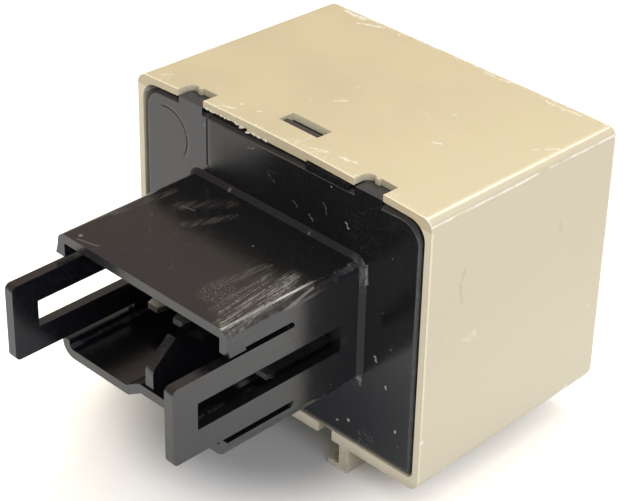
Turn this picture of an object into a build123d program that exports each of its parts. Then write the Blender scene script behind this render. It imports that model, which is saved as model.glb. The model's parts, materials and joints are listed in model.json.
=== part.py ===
from build123d import *
import os
from math import cos, radians, sin, tan

# Plug-in flasher relay: a moulded base with eight blades, a circuit board with
# two hinged-armature relays, and a clipped-on cover with bracket rails underneath.
# Millimetres, +Z up, the plug faces -Y. The origin is the middle of the
# footprint, on the surface that the rails stand on.

# Cover
cover_width = 40.0
cover_height = 30.5
cover_depth = 27.7
side_draft = 0.7
top_draft = 1.2
mouth_crown = 0.6
rear_crown = 0.05
side_wall = 0.75
top_wall = 0.7
floor_wall = 1.2
back_wall = 1.2
edge_radius = 1.2
mouth_inner_radius = 2.0
floor_inner_radius = 0.8
pad_width = 8.0
pad_depth = 6.2
pad_drop = 0.3

# Catch window in the cover and nub on the base
window_width = 5.2
window_front = 2.9
window_depth = 2.0
nub_clearance = 0.15
nub_height = 1.1

# Keying notches in the mouth of the cover and tabs on the base
notch_spacing = 24.2
notch_width = 3.7
notch_depth = 2.0
notch_corner = 0.8
notch_tooth_width = 0.5
notch_tooth_depth = 0.3
notch_tooth_offset = 0.5
tab_clearance = 0.15
tab_height = 0.55

# Bracket rails and lock tongue under the cover
rail_height = 3.0
rail_gap = 19.0
rail_web = 1.1
rail_foot_width = 1.5
rail_foot_height = 0.6
rail_length = 22.0
slit_offset = 6.4
slit_width = 2.0
slit_length = 9.0
lock_width = 4.0
lock_front = 3.0
lock_length = 3.2
lock_height = 0.8

# Base plate and skirt
plate_side_gap = 0.35
plate_top_gap = 0.2
plate_floor_gap = 0.2
plate_thickness = 2.4
plate_rounding = 0.5
plate_corner = 2.6
plate_foot_corner = 0.6
skirt_wall = 1.2
skirt_depth = 3.2
land_start = 4.0
land_width = 5.7
land_height = 0.35

# Plug shroud
shroud_width = 23.7
shroud_height = 14.05
shroud_rise = 8.65
shroud_length = 17.3
shroud_wall = 1.0
shroud_corner = 1.1
shroud_foot_corner = 1.6
root_bevel = 0.5
step_start = -2.1
step_end = 8.6
step_run = 1.9
step_rise = 1.15
step_rounding = 0.5
rib_offset = 0.3
rib_width = 1.1
rib_setback = 0.2
rib_front_height = 2.25
rib_back_height = 4.7
rib_slope = 40.0
rib_rounding = 1.2

# Latch arms freed by slots in the sides of the shroud
arm_length = 23.8
arm_height = 8.3
arm_middle = 15.35
arm_wall = 1.1
arm_slot = 0.65
slot_length = 8.4
slot_rounding = 0.5
arm_rounding = 0.6
opening_height = 2.9
opening_front_bar = 2.95
opening_root = 2.8
lip_reach = 0.35
lip_height = 1.2
lip_length = 2.0

# Blades, in two rows of four
blade_width = 2.0
blade_thickness = 0.64
blade_tip_width = 1.4
blade_tip_length = 0.9
blade_reach = 9.2
blade_pitch = 3.75
blade_middle_gap = 8.0
row_height = 6.4
row_rise = 12.2
blade_bend = 0.9
blade_fit = 0.02
leg_width = 1.0
leg_shoulder = 1.2
lower_leg_setback = 4.6
upper_leg_setback = 7.2
lead_tail = 0.9

# Circuit board in the grooves of the base
board_front = 3.4
board_length = 22.4
board_thickness = 1.6
board_rise = 6.0
board_fit = 0.05
groove_inset = 0.55
groove_depth = 1.1
groove_wall = 1.3
groove_length = 19.6
lead_fit = 0.12

# Two relays, one on each side of the board
relay_gap = 1.45
relay_wall_gap = 0.9
yoke_margin = 0.8
yoke_thickness = 1.2
yoke_knife_angle = 6.0
yoke_hole_fit = 0.02
yoke_bend = 0.4
hinge_setback = 22.6
peg_radius = 0.7
peg_inset = 1.2
bobbin_depth = 9.6
bobbin_height = 11.6
bobbin_flange = 0.8
bobbin_corner = 1.0
bobbin_gap = 0.4
winding_inset = 0.4
barrel_ratio = 0.55
core_ratio = 0.7
core_fit = 0.05
pole_ratio = 0.73
pole_height = 0.8
armature_thickness = 1.2
armature_reach = 10.0
armature_margin = 1.6
armature_corner = 0.8
armature_tilt = 3.2
armature_gap = 0.05
tail_reach = 2.6
tail_width = 3.2
leaf_width = 4.0
leaf_thickness = 0.25
leaf_start = 2.4
leaf_end = 13.4
leaf_corner = 1.3
leaf_fit = 0.02
rivet_radius = 0.6
rivet_head_radius = 0.95
rivet_head_height = 0.3
rivet_setbacks = (4.2, 7.4)
button_radius = 1.1
button_stem_radius = 0.5
button_setback = 12.0
lower_button = 0.9
upper_button = 0.6
fixed_button = 0.6
contact_gap = 0.03
post_ratio = 3.0
post_pin_width = 1.2
post_thickness = 0.6
post_overhang = 1.2
lamp_post_setback = 9.8
rest_post_setback = 8.5
spring_thickness = 0.2
spring_width = 2.4
spring_foot_rise = 3.4
spring_knee_drop = 2.2
spring_heel_gap = 0.35
spring_heel_drop = 1.4
spring_crest = 0.65
spring_toe_reach = 1.4
spring_bend = 0.45
spring_touch = 0.03
rivet_pitch = 2.6
rivet_rise = 1.6
spring_rivet_radius = 0.5
spring_rivet_stand = 0.35

# Small parts on the board
chip_length = 9.6
chip_width = 6.4
chip_height = 3.2
chip_standoff = 0.5
chip_setback = 15.2
chip_pitch = 2.54
chip_rows = 4
chip_leg_span = 7.6
chip_leg_width = 0.5
chip_leg_thickness = 0.3
chip_mark_radius = 0.7
capacitor_radius = 2.4
capacitor_height = 8.0
capacitor_setback = 23.2
capacitor_pitch = 2.0
capacitor_rim = 0.4
crimp_rise = 1.4
crimp_depth = 0.25
lead_radius = 0.28
lead_side_count = 8
lead_bend = 0.6
shunt_radius = 0.5
shunt_span = 4.4
shunt_rise = 4.2
shunt_setback = 8.6
shunt_bend = 1.5
resistor_radius = 1.15
resistor_length = 5.6
resistor_span = 7.4
resistor_gap = 0.55
resistor_setback = 7.8
resistor_waist_ratio = 0.88
diode_radius = 0.85
diode_length = 3.6
diode_span = 6.6
diode_gap = 0.2
diode_waist_ratio = 1.0
axial_cap_ratio = 0.25
axial_slope_ratio = 0.08
part_standoff = 0.15

# Levels and places that follow from the sizes above
rim_y = (arm_length - cover_depth) / 2
cover_low = rail_height
cover_high = cover_low + cover_height
cover_half = cover_width / 2
inner_half = cover_half - side_wall
inner_low = cover_low + floor_wall
inner_high = cover_high - top_wall
plate_half = inner_half - plate_side_gap
plate_low = inner_low + plate_floor_gap
plate_high = inner_high - plate_top_gap
shroud_half = shroud_width / 2
shroud_low = cover_low + shroud_rise
shroud_high = shroud_low + shroud_height
key_top = shroud_low + shroud_wall + step_rise
arm_low = cover_low + arm_middle - arm_height / 2
arm_high = arm_low + arm_height
lower_row = cover_low + row_rise
upper_row = lower_row + row_height
blade_inner = blade_middle_gap / 2
blade_places = (-blade_inner - blade_pitch, -blade_inner, blade_inner, blade_inner + blade_pitch)
board_low = cover_low + board_rise
board_high = board_low + board_thickness
board_half = plate_half - groove_inset - groove_wall - board_fit
yoke_plate_top = board_high + yoke_thickness
bobbin_top = yoke_plate_top + bobbin_height
pole_face = bobbin_top + pole_height
relay_inner = (chip_leg_span + chip_leg_thickness) / 2 + relay_gap
bobbin_width = board_half - groove_depth - relay_wall_gap - relay_inner
relay_offset = relay_inner + bobbin_width / 2
winding_radius = min(bobbin_width, bobbin_depth) / 2 - winding_inset
barrel_radius = winding_radius * barrel_ratio
core_radius = barrel_radius * core_ratio
pole_radius = winding_radius * pole_ratio
yoke_width = bobbin_width - yoke_margin
yoke_length = bobbin_depth - yoke_margin
peg_spacing = yoke_width - 2 * peg_inset
armature_width = bobbin_width - armature_margin
post_width = bobbin_width / post_ratio
resistor_offset = relay_offset + post_width / 2 + resistor_gap + resistor_radius
coil_setback = hinge_setback - bobbin_gap - bobbin_depth / 2
hinge_height = pole_face + armature_gap
yoke_back = hinge_setback + yoke_thickness
diode_setback = yoke_back + diode_gap + diode_radius
spring_foot = yoke_plate_top + spring_foot_rise
spring_rivets = (spring_foot + rivet_rise, spring_foot + rivet_rise + rivet_pitch)
tilt = radians(armature_tilt)

os.makedirs("parts", exist_ok=True)


# Plane across the relay at a depth behind the mouth of the cover, seen from the plug
def facing(depth):
    return Plane(origin=(0, rim_y + depth, 0), x_dir=(1, 0, 0), z_dir=(0, -1, 0))


# Horizontal plane, its own y counted backwards from the mouth of the cover
def level(height):
    return Plane(origin=(0, rim_y, height), x_dir=(1, 0, 0), z_dir=(0, 0, 1))


# Upright plane along the relay, its own x counted backwards from the mouth
def flank(offset):
    return Plane(origin=(offset, rim_y, 0), x_dir=(0, 1, 0), z_dir=(1, 0, 0))


# Underside of an armature at rest, hinged at the top edge of its yoke
def armature_plane(centre):
    hinge = (centre, rim_y + hinge_setback, hinge_height)
    return Plane(origin=hinge, x_dir=(1, 0, 0), z_dir=(0, sin(tilt), cos(tilt)))


# How far a face that is drafted by an angle has moved in at a depth
def drafted(angle, depth):
    return tan(radians(angle)) * depth


# Cover section at a depth: a box whose top side is a shallow arc
def cover_section(half, low, high, crown, depth):
    side = half - drafted(side_draft, depth)
    foot = low + drafted(side_draft, depth)
    head = high - drafted(top_draft, depth)
    Polyline((-side, head), (-side, foot), (side, foot), (side, head))
    ThreePointArc((-side, head), (0, head + crown), (side, head))


# Cover: drafted box, open at the mouth, with window, notches, rails and lock tongue
inner_depth = cover_depth - back_wall
with BuildPart() as cover:
    with BuildSketch(facing(0)):
        with BuildLine():
            cover_section(cover_half, cover_low, cover_high, mouth_crown, 0)
        make_face()
    with BuildSketch(facing(cover_depth)):
        with BuildLine():
            cover_section(cover_half, cover_low, cover_high, rear_crown, cover_depth)
        make_face()
    loft(ruled=True)
    mouth_edges = cover.faces().sort_by(Axis.Y)[0].edges()
    fillet(cover.edges() - mouth_edges, edge_radius)
    with BuildSketch(facing(0)) as hollow_mouth:
        with BuildLine():
            cover_section(inner_half, inner_low, inner_high, mouth_crown, 0)
        make_face()
        fillet(hollow_mouth.vertices().group_by(Axis.Y)[-1], mouth_inner_radius)
        fillet(hollow_mouth.vertices().group_by(Axis.Y)[0], floor_inner_radius)
    with BuildSketch(facing(inner_depth)) as hollow_rear:
        with BuildLine():
            cover_section(inner_half, inner_low, inner_high, rear_crown, inner_depth)
        make_face()
        fillet(hollow_rear.vertices().group_by(Axis.Y)[-1], mouth_inner_radius)
        fillet(hollow_rear.vertices().group_by(Axis.Y)[0], floor_inner_radius)
    loft(ruled=True, mode=Mode.SUBTRACT)
    with BuildSketch(facing(0)):
        with Locations((0, inner_high + mouth_crown)):
            Rectangle(pad_width, 2 * pad_drop)
    extrude(amount=-pad_depth)
    with BuildSketch(level(inner_high - pad_drop)):
        with Locations((0, window_front + window_depth / 2)):
            Rectangle(window_width, window_depth)
    extrude(amount=pad_drop + top_wall + 2 * mouth_crown, mode=Mode.SUBTRACT)
    for centre in (-notch_spacing / 2, notch_spacing / 2):
        with BuildSketch(level(inner_high - pad_drop)) as notch:
            with Locations((centre, notch_depth / 2)):
                Rectangle(notch_width, notch_depth)
            fillet(notch.vertices().group_by(Axis.Y)[-1].sort_by(Axis.X)[0], notch_corner)
            with Locations((centre - notch_tooth_offset, notch_depth - notch_tooth_depth / 2)):
                Rectangle(notch_tooth_width, notch_tooth_depth, mode=Mode.SUBTRACT)
        extrude(amount=pad_drop + top_wall + 2 * mouth_crown, mode=Mode.SUBTRACT)
    with BuildSketch(level(cover_low)):
        with GridLocations(2 * slit_offset + slit_width, 0, 2, 1):
            with Locations((0, slit_length / 2)):
                Rectangle(slit_width, slit_length)
    extrude(amount=floor_wall, mode=Mode.SUBTRACT)
    for side in (-1, 1):
        with BuildSketch(facing(0)):
            with BuildLine():
                inner = side * rail_gap / 2
                outer = inner + side * rail_web
                toe = inner - side * rail_foot_width
                root = cover_low + floor_wall / 2
                Polyline(
                    (toe, 0),
                    (outer, 0),
                    (outer, root),
                    (inner, root),
                    (inner, rail_foot_height),
                    (toe, rail_foot_height),
                    close=True,
                )
            make_face()
        extrude(amount=-rail_length)
    with BuildSketch(flank(-lock_width / 2)):
        with BuildLine():
            Polyline(
                (lock_front, cover_low + floor_wall / 2),
                (lock_front, cover_low),
                (lock_front + lock_length, cover_low - lock_height),
                (lock_front + lock_length, cover_low + floor_wall / 2),
                close=True,
            )
        make_face()
    extrude(amount=lock_width)
cover.part.label = "cover"
export_step(cover.part, "parts/cover.step")


# Outline of the plug shroud, with the raised key in its floor
def shroud_outline():
    Polyline(
        (-shroud_half, shroud_high),
        (-shroud_half, shroud_low),
        (step_start, shroud_low),
        (step_start + step_run, shroud_low + step_rise),
        (step_end - step_run, shroud_low + step_rise),
        (step_end, shroud_low),
        (shroud_half, shroud_low),
        (shroud_half, shroud_high),
        close=True,
    )


# Rounds the corners of the shroud outline: top, foot and the key's four
def round_shroud(outline):
    fillet(outline.vertices().group_by(Axis.Y)[-1], shroud_corner)
    foot = outline.vertices().group_by(Axis.Y)[0].sort_by(Axis.X)
    fillet([foot[0], foot[-1]], shroud_foot_corner)
    key_corners = outline.vertices().filter_by_position(Axis.X, step_start, step_end)
    fillet(key_corners, step_rounding)


# Base: plate, skirt, shroud with latch arms, keying tabs, catch nub and board grooves
with BuildPart() as base:
    with BuildSketch(facing(0)) as plate:
        with Locations((0, (plate_low + plate_high) / 2)):
            Rectangle(2 * plate_half, plate_high - plate_low)
        fillet(plate.vertices().group_by(Axis.Y)[-1], plate_corner)
        fillet(plate.vertices().group_by(Axis.Y)[0], plate_foot_corner)
    extrude(amount=-plate_thickness)
    fillet(base.faces().sort_by(Axis.Y)[0].edges(), plate_rounding)
    with BuildSketch(facing(plate_thickness)) as skirt:
        add(plate.sketch_local)
        offset(amount=-skirt_wall, mode=Mode.SUBTRACT)
    extrude(amount=-skirt_depth)
    with BuildSketch(facing(0)):
        with Locations((land_start + land_width / 2, plate_high)):
            Rectangle(land_width, 2 * land_height)
    extrude(amount=-plate_thickness)
    with BuildSketch(facing(0)):
        with GridLocations(notch_spacing, 0, 2, 1):
            with Locations((0, plate_high)):
                Rectangle(notch_width - 2 * tab_clearance, 2 * tab_height)
    extrude(amount=tab_clearance - notch_depth)
    with BuildSketch(flank(nub_clearance - window_width / 2)):
        with BuildLine():
            nub_front = window_front + nub_clearance
            nub_back = window_front + window_depth - nub_clearance
            Polyline(
                (nub_front, plate_high - skirt_wall / 2),
                (nub_front, plate_high + nub_height),
                ((nub_front + nub_back) / 2, plate_high + nub_height),
                (nub_back, plate_high),
                (nub_back, plate_high - skirt_wall / 2),
                close=True,
            )
        make_face()
    extrude(amount=window_width - 2 * nub_clearance)
    with BuildSketch(facing(0)) as root:
        with BuildLine():
            shroud_outline()
        make_face()
        round_shroud(root)
        offset(amount=root_bevel)
    extrude(amount=root_bevel, taper=45)
    with BuildSketch(facing(0)) as wall:
        with BuildLine():
            shroud_outline()
        make_face()
        round_shroud(wall)
        offset(amount=-shroud_wall, mode=Mode.SUBTRACT)
    extrude(amount=shroud_length)
    with BuildSketch(flank(rib_offset)) as rib:
        with BuildLine():
            rib_front = rib_setback - shroud_length
            rib_foot = key_top - shroud_wall / 2
            rib_front_top = key_top + rib_front_height
            rib_back_top = key_top + rib_back_height
            rib_run = (rib_back_top - rib_front_top) / tan(radians(rib_slope))
            Polyline(
                (0, rib_foot),
                (rib_front, rib_foot),
                (rib_front, rib_front_top),
                (rib_front + rib_run, rib_back_top),
                (0, rib_back_top),
                close=True,
            )
        make_face()
        rib_corner = rib.vertices().sort_by_distance((rib_front, rib_front_top))
        fillet(rib_corner[0], rib_rounding)
    extrude(amount=rib_width)
    for side in (-1, 1):
        with BuildSketch(flank(side * (shroud_half - arm_wall))) as slot:
            with Locations((slot_length / 2 - shroud_length, arm_low + arm_height / 2)):
                Rectangle(slot_length, arm_height + 2 * arm_slot)
            fillet(slot.vertices().group_by(Axis.X)[-1], slot_rounding)
        extrude(amount=side * arm_wall, mode=Mode.SUBTRACT)
        with BuildSketch(flank(side * (shroud_half - arm_wall))) as arm:
            with Locations((-arm_length / 2, arm_low + arm_height / 2)):
                Rectangle(arm_length, arm_height)
            fillet(arm.vertices().group_by(Axis.X)[0], arm_rounding)
            opening_length = arm_length - opening_front_bar - opening_root
            with Locations((-opening_root - opening_length / 2, arm_low + arm_height / 2)):
                Rectangle(opening_length, opening_height, mode=Mode.SUBTRACT)
        extrude(amount=side * arm_wall)
        with BuildSketch(flank(side * (shroud_half - arm_wall))):
            with Locations((-opening_root - opening_length / 2, arm_low + arm_height / 2)):
                Rectangle(opening_length, opening_height)
        extrude(amount=side * arm_wall, mode=Mode.SUBTRACT)
        with BuildSketch(facing(-shroud_length)):
            with BuildLine():
                lip_foot = arm_high + arm_slot
                Polyline(
                    (side * (shroud_half - shroud_wall), lip_foot),
                    (side * (shroud_half + lip_reach), lip_foot),
                    (side * shroud_half, lip_foot + lip_height),
                    (side * (shroud_half - shroud_wall), lip_foot + lip_height),
                    close=True,
                )
            make_face()
        extrude(amount=-lip_length)
        with BuildSketch(facing(plate_thickness)):
            groove_height = board_thickness + 2 * board_fit
            groove_middle = board_low + board_thickness / 2
            rail_inner = board_half - groove_depth
            groove_end = board_half + board_fit
            rail_outer = groove_end + groove_wall
            with Locations((side * (rail_inner + rail_outer) / 2, groove_middle)):
                Rectangle(rail_outer - rail_inner, groove_height + 2 * groove_wall)
            with Locations((side * (rail_inner + groove_end) / 2, groove_middle)):
                Rectangle(groove_end - rail_inner, groove_height, mode=Mode.SUBTRACT)
        extrude(amount=-groove_length)
    with BuildSketch(facing(-root_bevel)):
        for row in (lower_row, upper_row):
            with Locations([(place, row) for place in blade_places]):
                Rectangle(blade_width + 2 * blade_fit, blade_thickness + 2 * blade_fit)
    extrude(amount=-root_bevel - plate_thickness, mode=Mode.SUBTRACT)
base.part.label = "base"
export_step(base.part, "parts/base.step")


# Blade: flat contact with a tapered tip, bent down to a leg that enters the board
def make_blade(name, place, row, leg_setback):
    half = blade_thickness / 2
    with BuildPart() as blade:
        with BuildSketch(flank(place)) as profile:
            with BuildLine():
                Polyline(
                    (-blade_reach, row + half),
                    (leg_setback + half, row + half),
                    (leg_setback + half, board_low - lead_tail),
                    (leg_setback - half, board_low - lead_tail),
                    (leg_setback - half, row - half),
                    (-blade_reach, row - half),
                    close=True,
                )
            make_face()
            upper = profile.vertices().group_by(Axis.Y)[-1]
            fillet(upper.sort_by(Axis.X)[-1], blade_bend)
            lower = profile.vertices().sort_by_distance((leg_setback - half, row - half))
            fillet(lower[0], blade_bend - blade_thickness)
        extrude(amount=blade_width / 2, both=True)
        with BuildSketch(facing(leg_setback - blade_thickness)):
            cheek = (blade_width - leg_width) / 2
            leg_top = row - half - leg_shoulder
            leg_foot = board_low - lead_tail
            with Locations((place, (leg_top + leg_foot) / 2)):
                with GridLocations(leg_width + cheek, 0, 2, 1):
                    Rectangle(cheek, leg_top - leg_foot)
        extrude(amount=-2 * blade_thickness, mode=Mode.SUBTRACT)
        for side in (-1, 1):
            with BuildSketch(level(row - half)):
                with BuildLine():
                    Polyline(
                        (place + side * blade_tip_width / 2, -blade_reach),
                        (place + side * blade_width / 2, blade_tip_length - blade_reach),
                        (place + side * blade_width / 2, -blade_reach),
                        close=True,
                    )
                make_face()
            extrude(amount=blade_thickness, mode=Mode.SUBTRACT)
    blade.part.label = name
    export_step(blade.part, f"parts/{name}.step")


for number, place in enumerate(blade_places, start=1):
    make_blade(f"lower_blade_{number}", place, lower_row, lower_leg_setback)
    make_blade(f"upper_blade_{number}", place, upper_row, upper_leg_setback)

# Places of the leads that pass through the board
relay_centres = (-relay_offset, relay_offset)
chip_pins = [
    (side * chip_leg_span / 2, chip_setback + (pin - (chip_rows - 1) / 2) * chip_pitch)
    for side in (-1, 1)
    for pin in range(chip_rows)
]
round_leads = [
    (-capacitor_pitch / 2, capacitor_setback),
    (capacitor_pitch / 2, capacitor_setback),
    (-shunt_span / 2, shunt_setback),
    (shunt_span / 2, shunt_setback),
]
for side in (-1, 1):
    round_leads.append((side * resistor_offset, resistor_setback - resistor_span / 2))
    round_leads.append((side * resistor_offset, resistor_setback + resistor_span / 2))
    round_leads.append((side * relay_offset - diode_span / 2, diode_setback))
    round_leads.append((side * relay_offset + diode_span / 2, diode_setback))

# Circuit board
with BuildPart() as board:
    with BuildSketch(level(board_low)):
        with Locations((0, board_front + board_length / 2)):
            Rectangle(2 * board_half, board_length)
        for setback in (lower_leg_setback, upper_leg_setback):
            with Locations([(place, setback) for place in blade_places]):
                Rectangle(leg_width + 2 * lead_fit, blade_thickness + 2 * lead_fit, mode=Mode.SUBTRACT)
        for setback in (lamp_post_setback, rest_post_setback):
            with Locations([(centre, setback) for centre in relay_centres]):
                Rectangle(post_pin_width + 2 * lead_fit, post_thickness + 2 * lead_fit, mode=Mode.SUBTRACT)
        with Locations([(centre, coil_setback) for centre in relay_centres]):
            with GridLocations(peg_spacing, 0, 2, 1):
                Circle(peg_radius + lead_fit, mode=Mode.SUBTRACT)
        with Locations(chip_pins):
            Rectangle(chip_leg_thickness + 2 * lead_fit, chip_leg_width + 2 * lead_fit, mode=Mode.SUBTRACT)
        with Locations(round_leads):
            Circle(shunt_radius + lead_fit, mode=Mode.SUBTRACT)
    extrude(amount=board_thickness)
board.part.label = "circuit_board"
export_step(board.part, "parts/circuit_board.step")


# Yoke: bent iron strip under and behind the coil, with a knife edge for the armature
def make_yoke(name, centre):
    yoke_front = coil_setback - yoke_length / 2
    with BuildPart() as yoke:
        with BuildSketch(flank(centre)) as profile:
            with BuildLine():
                Polyline(
                    (yoke_front, board_high),
                    (yoke_back, board_high),
                    (yoke_back, pole_face - yoke_thickness * tan(radians(yoke_knife_angle))),
                    (hinge_setback, pole_face),
                    (hinge_setback, yoke_plate_top),
                    (yoke_front, yoke_plate_top),
                    close=True,
                )
            make_face()
            outer_bend = profile.vertices().sort_by_distance((yoke_back, board_high))
            fillet(outer_bend[0], yoke_bend + yoke_thickness)
            inner_bend = profile.vertices().sort_by_distance((hinge_setback, yoke_plate_top))
            fillet(inner_bend[0], yoke_bend)
        extrude(amount=yoke_width / 2, both=True)
        with BuildSketch(level(board_high)):
            with Locations((centre, coil_setback)):
                Circle(core_radius + yoke_hole_fit)
        extrude(amount=yoke_thickness, mode=Mode.SUBTRACT)
        with BuildSketch(level(board_high)):
            with Locations((centre, coil_setback)):
                with GridLocations(peg_spacing, 0, 2, 1):
                    Circle(peg_radius)
        extrude(amount=-board_thickness - lead_tail)
        with BuildSketch(facing(yoke_back)):
            with Locations([(centre, height) for height in spring_rivets]):
                Circle(spring_rivet_radius)
        extrude(amount=-spring_rivet_stand)
    yoke.part.label = name
    export_step(yoke.part, f"parts/{name}.step")


# Bobbin: flanged barrel with a bore for the core
def make_bobbin(name, centre):
    with BuildPart() as bobbin:
        for foot in (yoke_plate_top, bobbin_top - bobbin_flange):
            with BuildSketch(level(foot)):
                with Locations((centre, coil_setback)):
                    RectangleRounded(bobbin_width, bobbin_depth, bobbin_corner)
            extrude(amount=bobbin_flange)
        with BuildSketch(level(yoke_plate_top)):
            with Locations((centre, coil_setback)):
                Circle(barrel_radius)
        extrude(amount=bobbin_height)
        with BuildSketch(level(yoke_plate_top)):
            with Locations((centre, coil_setback)):
                Circle(core_radius + core_fit)
        extrude(amount=bobbin_height, mode=Mode.SUBTRACT)
    bobbin.part.label = name
    export_step(bobbin.part, f"parts/{name}.step")


# Winding: the coil's wire as one wound body between the flanges
def make_winding(name, centre):
    with BuildPart() as winding:
        with BuildSketch(level(yoke_plate_top + bobbin_flange)):
            with Locations((centre, coil_setback)):
                Circle(winding_radius)
                Circle(barrel_radius, mode=Mode.SUBTRACT)
        extrude(amount=bobbin_height - 2 * bobbin_flange)
    winding.part.label = name
    export_step(winding.part, f"parts/{name}.step")


# Core: round iron pin with a broad pole face, riveted into the yoke
def make_core(name, centre):
    with BuildPart() as core:
        with BuildSketch(level(board_high)):
            with Locations((centre, coil_setback)):
                Circle(core_radius)
        extrude(amount=bobbin_top - board_high)
        with BuildSketch(level(bobbin_top)):
            with Locations((centre, coil_setback)):
                Circle(pole_radius)
        extrude(amount=pole_height)
    core.part.label = name
    export_step(core.part, f"parts/{name}.step")


# Armature: iron plate over the pole, with a tail for the spring and two rivets
def make_armature(name, centre):
    rest = armature_plane(centre)
    with BuildPart() as armature:
        with BuildSketch(rest) as outline:
            with Locations((0, -armature_reach / 2)):
                Rectangle(armature_width, armature_reach)
            fillet(outline.vertices().group_by(Axis.Y)[0], armature_corner)
            with Locations((0, tail_reach / 2)):
                Rectangle(tail_width, tail_reach)
        extrude(amount=armature_thickness)
        with BuildSketch(rest.offset(armature_thickness)):
            with Locations([(0, -setback) for setback in rivet_setbacks]):
                Circle(rivet_radius)
        extrude(amount=leaf_thickness)
        with BuildSketch(rest.offset(armature_thickness + leaf_thickness)):
            with Locations([(0, -setback) for setback in rivet_setbacks]):
                Circle(rivet_head_radius)
        extrude(amount=rivet_head_height)
    armature.part.label = name
    export_step(armature.part, f"parts/{name}.step")


# Contact leaf: bronze strip riveted on the armature, reaching past its front edge
def make_leaf(name, centre):
    with BuildPart() as leaf:
        with BuildSketch(armature_plane(centre).offset(armature_thickness)) as outline:
            with Locations((0, -(leaf_start + leaf_end) / 2)):
                Rectangle(leaf_width, leaf_end - leaf_start)
            fillet(outline.vertices().group_by(Axis.Y)[0], leaf_corner)
            with Locations([(0, -setback) for setback in rivet_setbacks]):
                Circle(rivet_radius + leaf_fit, mode=Mode.SUBTRACT)
            with Locations((0, -button_setback)):
                Circle(button_stem_radius + leaf_fit, mode=Mode.SUBTRACT)
        extrude(amount=leaf_thickness)
    leaf.part.label = name
    export_step(leaf.part, f"parts/{name}.step")


# Moving contact: silver button riveted through the leaf, with a face on both sides
def make_button(name, centre):
    under = armature_plane(centre).offset(armature_thickness)
    with BuildPart() as button:
        with BuildSketch(under):
            with Locations((0, -button_setback)):
                Circle(button_radius)
        extrude(amount=-lower_button)
        with BuildSketch(under):
            with Locations((0, -button_setback)):
                Circle(button_stem_radius)
        extrude(amount=leaf_thickness)
        with BuildSketch(under.offset(leaf_thickness)):
            with Locations((0, -button_setback)):
                Circle(button_radius)
        extrude(amount=upper_button)
    button.part.label = name
    export_step(button.part, f"parts/{name}.step")


# Heights that the moving contact reaches, closed on the lamp post and at rest
closed_contact = hinge_height + armature_thickness - lower_button
rest_contact_reach = armature_thickness + leaf_thickness + upper_button
rest_contact = (
    hinge_height
    + rest_contact_reach * cos(tilt)
    + (button_setback + button_radius) * sin(tilt)
)
contact_y = hinge_setback - button_setback


# Fixed contact: strip standing in the board, bent back over or under the leaf's button
def make_post(name, centre, setback, tab_low, button_foot):
    front = setback - post_thickness / 2
    tab_end = contact_y + post_overhang
    with BuildPart() as post:
        with BuildSketch(flank(centre)) as profile:
            with BuildLine():
                Polyline(
                    (front, board_high),
                    (front + post_thickness, board_high),
                    (front + post_thickness, tab_low),
                    (tab_end, tab_low),
                    (tab_end, tab_low + post_thickness),
                    (front, tab_low + post_thickness),
                    close=True,
                )
            make_face()
            top_front = profile.vertices().sort_by_distance((front, tab_low + post_thickness))
            fillet(top_front[0], post_thickness)
        extrude(amount=post_width / 2, both=True)
        with BuildSketch(level(board_high)):
            with Locations((centre, setback)):
                Rectangle(post_pin_width, post_thickness)
        extrude(amount=-board_thickness - lead_tail)
        with BuildSketch(level(button_foot)):
            with Locations((centre, contact_y)):
                Circle(button_radius)
        extrude(amount=fixed_button)
    post.part.label = name
    export_step(post.part, f"parts/{name}.step")


# Return spring: flat strip riveted behind the yoke, looped over the armature's tail
def make_spring(name, centre):
    tail_end = hinge_setback + tail_reach
    heel = tail_end + spring_heel_gap
    toe = tail_end - spring_toe_reach
    tail_top = hinge_height + armature_thickness / cos(tilt)
    toe_low = tail_top - (toe - hinge_setback) * tan(tilt) + spring_touch
    with BuildPart() as spring:
        with BuildSketch(flank(centre)):
            with BuildLine():
                FilletPolyline(
                    (yoke_back, spring_foot),
                    (yoke_back, hinge_height - spring_knee_drop),
                    (heel, hinge_height - spring_heel_drop),
                    (heel, toe_low + spring_crest),
                    (toe, toe_low),
                    radius=spring_bend,
                )
                offset(amount=spring_thickness, side=Side.RIGHT)
            make_face()
        extrude(amount=spring_width / 2, both=True)
        with BuildSketch(facing(yoke_back)):
            with Locations([(centre, height) for height in spring_rivets]):
                Circle(spring_rivet_radius + leaf_fit)
        extrude(amount=-spring_thickness, mode=Mode.SUBTRACT)
    spring.part.label = name
    export_step(spring.part, f"parts/{name}.step")


# Axial part: turned body on a lead bent down into the board at both ends
def make_axial(name, plane, middle, radius, length, span, waist_ratio):
    axis_height = board_high + part_standoff + radius
    foot = board_low - lead_tail
    start, end = middle - span / 2, middle + span / 2
    with BuildPart() as axial:
        with BuildLine(plane) as route:
            FilletPolyline(
                (start, foot), (start, axis_height), (end, axis_height), (end, foot), radius=lead_bend
            )
        with BuildSketch(Plane(origin=route.line @ 0, z_dir=route.line % 0)):
            RegularPolygon(lead_radius, lead_side_count)
        sweep()
        with BuildSketch(plane):
            with BuildLine():
                left, right = middle - length / 2, middle + length / 2
                cap = length * axial_cap_ratio
                waist_start = cap + length * axial_slope_ratio
                Polyline(
                    (left, axis_height),
                    (left, axis_height + radius),
                    (left + cap, axis_height + radius),
                    (left + waist_start, axis_height + radius * waist_ratio),
                    (right - waist_start, axis_height + radius * waist_ratio),
                    (right - cap, axis_height + radius),
                    (right, axis_height + radius),
                    (right, axis_height),
                    close=True,
                )
            make_face()
        revolve(axis=Axis(plane.from_local_coords((middle, axis_height, 0)), plane.x_dir))
    axial.part.label = name
    export_step(axial.part, f"parts/{name}.step")


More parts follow.
